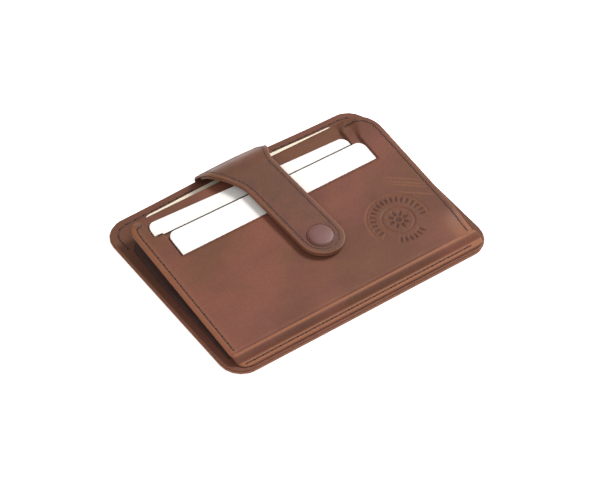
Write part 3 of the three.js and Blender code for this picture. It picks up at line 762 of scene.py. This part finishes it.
def strap_sheet(name, depth0, depth1, narrower, slot, stands_for, wear_edge, lowest=-9.0):
    """One layer of the strap: a flat loop with rounded sides, carried along the route as far as the
    first point below lowest."""
    below = ROUTE.points[:, 1] < lowest
    kept = int(np.argmax(below)) if below.any() else len(below)
    points, outs, wide, length, shifts = (part[:kept] for part in ROUTE)
    soft = min(0.45, (depth1 - depth0) * 0.45)
    across = np.linspace(-1, 1, 25)
    rows, marks_wear, marks_shade = [], [], []
    for p, o, half, shift in zip(points, outs, wide, shifts):
        half = max(half - narrower, 0.02)
        inner = max(half - soft, 0.0)
        xs = across * inner
        quarter = np.linspace(0, math.pi / 2, 4)[1:]
        side = inner + (half - inner) * np.sin(quarter)
        fall = soft * (1 - np.cos(quarter))
        dome = 0.12 * (1 - (xs / max(half, 0.1)) ** 2) if depth0 == 0 else 0 * xs
        loop_x = np.concatenate([xs, side, side[::-1], -xs, -side, -side[::-1]])
        loop_d = np.concatenate([depth0 - dome, depth0 + fall, depth1 - fall[::-1], depth1 + 0 * xs,
                                 depth1 - fall, depth0 + fall[::-1]])
        y = p[0] - o[0] * loop_d
        z = p[1] - o[1] * loop_d
        rows.append(np.stack([middle(p[0]) + shift + loop_x, y, z], -1))
        near = half - np.abs(loop_x)
        marks_wear.append(wear_edge * (1 - smooth(0.1, 1.3, near)) + 0 * loop_x)
        # The side walls darken towards the inner face: partly edge paint, partly painted shade under the
        # strap's edge.
        marks_shade.append(0.55 * smooth(0.25, 0.9, loop_d - depth0) * (near < 0.5))
    grid = np.array(rows)
    grid[:, :, 2] += bow_along_strap(grid)
    n, m = grid.shape[:2]
    faces = quads(n, m, wrap=True)
    faces.append(list(range(m)))
    faces.append([(n - 1) * m + j for j in range(m - 1, -1, -1)])
    # Paler round the strap's bend: partly pull-up paling, partly a painted highlight.
    bend_paling_at = ROUTE.length[-30]
    bend = np.exp(-(((length - bend_paling_at) / 6) ** 2))[:, None]
    wear = np.clip(np.array(marks_wear) + 0.12 * bend, 0, 1)
    made = piece(name, grid, faces, STRAP_HIDE, slot=slot, stands_for=stands_for,
                 marks={"wear": wear, "shade": np.array(marks_shade)}, weld=True)
    sharpen(made, 55)
    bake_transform(made)


def bow_along_strap(grid):
    """The strap's foot follows the lift of the back's edge, fading out up the riser."""
    y, z = grid[..., 1], grid[..., 2]
    return bow(grid[..., 0], 43.0) * smooth(28, 40, y) * (1 - smooth(4, 11, z))


strap_sheet("strap_outer_leather", 0.0, STRAP_OUTER, 0.0, "strap_leather",
            ["strap_outer", "strap_tail"], 0.42)
strap_sheet("strap_inner_leather", STRAP_OUTER + LAYER_GAP, STRAP_OUTER + LAYER_GAP + STRAP_INNER, 0.12,
            "lining_leather", ["strap_lining"], 0.45, lowest=7.2)


# ------------------------------------------------------------------ snap
def turned(name, profile, centre, out, material, body, slot, stands_for):
    """A profile of (radius, height) pairs spun about an axis through centre along out."""
    profile = np.array(profile, float)
    turns = 64
    angle = np.linspace(0, 2 * math.pi, turns, endpoint=False)
    side = np.array([1.0, 0, 0])
    up = np.cross(out, side)
    ring = np.cos(angle)[None, :, None] * side + np.sin(angle)[None, :, None] * up
    grid = centre + profile[:, 0][:, None, None] * ring + profile[:, 1][:, None, None] * out
    faces = quads(len(profile), turns, wrap=True)
    made = piece(name, grid, faces, material, body, slot, stands_for, weld=True)
    sharpen(made, 60)


front_out = np.array([0, OUT[0], OUT[1]])
snap_foot = on_front(SNAP_X, SNAP_V, STRAP_LIFT + STRAP_OUTER + STRAP_INNER + 0.1)
dome = [(4.7 * math.sin(a), 0.25 + 0.62 * math.cos(a) ** 0.8)
        for a in np.linspace(math.radians(78), 0.001, 12)]
cap_profile = [(0.0, -1.6), (1.1, -1.6), (1.1, -0.05), (4.9, -0.05), (5.15, 0.05), (5.2, 0.25), (5.15, 0.38),
               (5.02, 0.42), (4.90, 0.30), (4.78, 0.16), (4.68, 0.22)] + dome
turned("snap_cap_shell", cap_profile, snap_foot, front_out, CAP, "strap", "snap_cap", ["snap_cap"])

# The rivet's head is a thin washer against the leather, which the lower card slides past.
rivet_profile = [(0.0, -0.42), (2.8, -0.42), (2.95, -0.39), (3.0, -0.36), (2.95, -0.33), (0.0, -0.32)]
turned("snap_rivet_head", rivet_profile, on_front(SNAP_X, SNAP_V, 0.0), front_out, BRASS, "front",
       "snap_metal", ["snap_rivet"])


# ------------------------------------------------------------------ stitches
def beads(name, path, outs, pitch, long, thick, tall, material, body, stands_for=(), offset=0.0, bend=None):
    """Stitches along a path: at each pitch a small rounded bar, an ellipse across and a flattened
    ellipse along, lying in the surface."""
    path, outs = np.asarray(path, float), np.asarray(outs, float)
    length = distance_along(path)
    count = max(int((length[-1] - offset) / pitch), 1)
    places = offset + pitch * (np.arange(count) + 0.5)
    rings, sides = 7, 8
    u = np.linspace(-1, 1, rings)
    size = np.sqrt(np.maximum(1 - np.abs(u) ** 4, 0.0)) + 0.02
    angle = np.linspace(0, 2 * math.pi, sides, endpoint=False)
    points, faces = [], []
    for s in places:
        ends = [np.array([np.interp(s + d, length, path[:, k]) for k in range(3)])
                for d in (-long / 2, long / 2)]
        out = np.array([np.interp(s, length, outs[:, k]) for k in range(3)])
        out /= np.linalg.norm(out)
        centre, along = (ends[0] + ends[1]) / 2, (ends[1] - ends[0]) / 2
        side = np.cross(out, along)
        side /= np.linalg.norm(side)
        first = len(points) * rings * sides
        ring = np.cos(angle)[None, :, None] * side * thick / 2 + np.sin(angle)[None, :, None] * out * tall
        block = centre + u[:, None, None] * along + size[:, None, None] * ring
        points.append(block.reshape(-1, 3))
        faces += quads(rings, sides, first, wrap=True)
        faces.append([first + j for j in range(sides - 1, -1, -1)])
        faces.append([first + (rings - 1) * sides + j for j in range(sides)])
    made = piece(name, np.concatenate(points), faces, material, None if bend else body, "thread", stands_for)
    if bend:
        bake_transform(made)


def seam(name, path, outs, body, node, hole=HOLE, bend=None):
    """A row of stitches and, between them, dark patches that paint the shade in the needle holes."""
    pitch = 3.7
    path, outs = np.asarray(path, float), np.asarray(outs, float)
    beads(name, path - outs * 0.02, outs, pitch, pitch * 0.80, 0.66, 0.26, THREAD, body, [node], bend=bend)
    beads(name + "_holes", path, outs, pitch, pitch * 0.34, 0.62, 0.13, hole, body, offset=-pitch / 2,
          bend=bend)


def rounded_path(corners, radius, step=0.8):
    """Straight runs joined by quarter circles of one radius, as points about a step apart."""
    points = [np.array(corners[0], float)]
    for before, at, after in zip(corners, corners[1:], corners[2:]):
        before, at, after = (np.array(c, float) for c in (before, at, after))
        back, on = before - at, after - at
        back, on = back / np.linalg.norm(back), on / np.linalg.norm(on)
        centre = at + (back + on) * radius
        points.append(at + back * radius)
        for t in np.linspace(0, math.pi / 2, 8)[1:]:
            points.append(centre - on * radius * math.cos(t) - back * radius * math.sin(t))
    points.append(np.array(corners[-1], float))
    dense = []
    for a, b in zip(points, points[1:]):
        n = max(int(np.linalg.norm(b - a) / step), 1)
        dense += [a + (b - a) * k / n for k in range(n)]
    return np.array(dense + [points[-1]])


def rim_seam(name, corners, node):
    """Stitches that follow the rim on the back's inner leather."""
    flat = rounded_path(corners, BACK_R - RIM_SEAM_INSET)
    z = 1.9 + bow(flat[:, 0], flat[:, 1])
    path = np.column_stack([flat, z])
    seam(name, path, np.tile([0, 0, 1.0], (len(path), 1)), "back", node)


half_w, half_h = BACK_W / 2 - RIM_SEAM_INSET, BACK_H / 2 - RIM_SEAM_INSET
rim_seam("rim_stitches_left", [(-half_w, 29.0), (-half_w, half_h), (-16.5, half_h)], "rim_thread_left")
rim_seam("rim_stitches_right", [(half_w, -37.0), (half_w, half_h), (14.0, half_h)], "rim_thread_right")

foot_y = -BACK_H / 2 + 2.9
foot_line = np.column_stack([np.linspace(-50.6, 50.6, 120), np.full(120, foot_y), np.full(120, 2.52)])
seam("foot_stitches", foot_line, np.tile([0, 0, 1.0], (120, 1)), "back", "band_thread")


def front_seam(name, side, end, corner_r, node, hole):
    """Stitches up one side of the panel, round its top corner and a little way along the open edge."""
    top = LENGTH - FRONT_SEAM_INSET
    flat = rounded_path([(side, 2.6), (side, top), (end, top)], corner_r - FRONT_SEAM_INSET)
    path = on_front(flat[:, 0], flat[:, 1], settle(flat[:, 0], flat[:, 1]))
    seam(name, path, np.tile(front_out, (len(path), 1)), "front", node, hole)


front_seam("front_stitches_left", LEFT + FRONT_SEAM_INSET, -46.5, TOP_R, "front_thread_left", HOLE)
front_seam("front_stitches_right", RIGHT - FRONT_SEAM_INSET, 41.8, TOP_R_RIGHT, "front_thread_right",
           FAINT_HOLE)


def strap_seam():
    """Stitches up one side of the strap, round its tip and down the other side, as far as the fold."""
    first = len(TIP_ANGLES) - 1
    sides = []
    for sign in (-1, 1):
        run = []
        for p, o, half, shift in zip(ROUTE.points[first:], ROUTE.outs[first:], ROUTE.halves[first:],
                                     ROUTE.shifts[first:]):
            if p[1] < 4.4:
                break
            x = middle(p[0]) + shift + sign * (half - STRAP_SEAM_INSET)
            run.append((np.array([x, p[0], p[1]]), np.array([0, o[0], o[1]])))
        sides.append(run)
    tip = []
    radius = STRAP_HALF - STRAP_SEAM_INSET
    for a in np.linspace(math.pi, 2 * math.pi, 40)[1:-1]:
        q = CREASE + ALONG * (SNAP_V + radius * math.sin(a)) + OUT * STRAP_FACE
        tip.append((np.array([middle(q[0]) + radius * math.cos(a), q[0], q[1]]), front_out))
    every = sides[0][::-1] + tip + sides[1]
    path = np.array([e[0] for e in every])
    out = np.array([e[1] for e in every])
    path[:, 2] += bow_along_strap(path)
    seam("strap_stitches", path, out, None, "strap_thread", FAINT_HOLE,
         bend=("back", "strap", (0, 0.042, 0.0024 + 0.0022), (0, 0.042, 0.0062)))


strap_seam()

for node in ("snap_socket", "snap_stud"):
    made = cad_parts[node]
    made.data.materials.clear()
    made.data.materials.append(BRASS)

# ------------------------------------------------------------------ stage, light and camera
floor_material, _, floor_shader = nodes_of("pale_floor")
floor_shader.inputs["Base Color"].default_value = (0.93, 0.93, 0.93, 1)
floor_shader.inputs["Roughness"].default_value = 0.9
floor_shader.inputs["Emission Color"].default_value = (1, 1, 1, 1)
floor_shader.inputs["Emission Strength"].default_value = 0.6
floor_mesh = bpy.data.meshes.new("floor")
floor_half = 6  # in metres
floor_corners = [(-floor_half, -floor_half, 0), (floor_half, -floor_half, 0),
                 (floor_half, floor_half, 0), (-floor_half, floor_half, 0)]
floor_mesh.from_pydata(floor_corners, [], [(0, 1, 2, 3)])
floor_mesh.materials.append(floor_material)
floor = bpy.data.objects.new("floor", floor_mesh)
bpy.context.scene.collection.objects.link(floor)

world = bpy.data.worlds.new("studio")
world.use_nodes = True
world.node_tree.nodes["Background"].inputs["Color"].default_value = (1.0, 1.0, 1.0, 1)
world.node_tree.nodes["Background"].inputs["Strength"].default_value = 0.50
bpy.context.scene.world = world


def softbox(name, place, size, power):
    """A square lamp at place, in metres, facing the object."""
    lamp = bpy.data.lights.new(name, "AREA")
    lamp.shape = "SQUARE"
    lamp.size = size
    lamp.energy = power
    made = bpy.data.objects.new(name, lamp)
    made.location = place
    made.rotation_euler = (Vector((0, 0, 0.005)) - Vector(place)).to_track_quat("-Z", "Y").to_euler()
    bpy.context.scene.collection.objects.link(made)


softbox("key_light", (0.68, -0.02, 0.78), 0.32, 9.8)
softbox("fill_light", (-0.7, -0.5, 0.6), 0.8, 3.0)

azimuth, elevation, roll = math.radians(-36.16), math.radians(46.65), math.radians(1.0)
back_axis = Vector((math.sin(azimuth) * math.cos(elevation), -math.cos(azimuth) * math.cos(elevation),
                    math.sin(elevation)))
right_axis = Vector((math.cos(azimuth), math.sin(azimuth), 0))
up_axis = back_axis.cross(right_axis)
right_axis, up_axis = (right_axis * math.cos(roll) + up_axis * math.sin(roll),
                       up_axis * math.cos(roll) - right_axis * math.sin(roll))
camera_data = bpy.data.cameras.new("camera")
camera_data.sensor_width = 36
camera_data.lens = 158.1
camera_data.clip_start = 0.05
camera_data.clip_end = 20
camera = bpy.data.objects.new("camera", camera_data)
place = right_axis * 0.00105 - up_axis * 0.00086 + back_axis * 0.958
camera.matrix_world = Matrix((
    (right_axis.x, up_axis.x, back_axis.x, place.x),
    (right_axis.y, up_axis.y, back_axis.y, place.y),
    (right_axis.z, up_axis.z, back_axis.z, place.z),
    (0, 0, 0, 1)))
bpy.context.scene.collection.objects.link(camera)
bpy.context.scene.camera = camera
bpy.context.scene.view_settings.view_transform = "Standard"
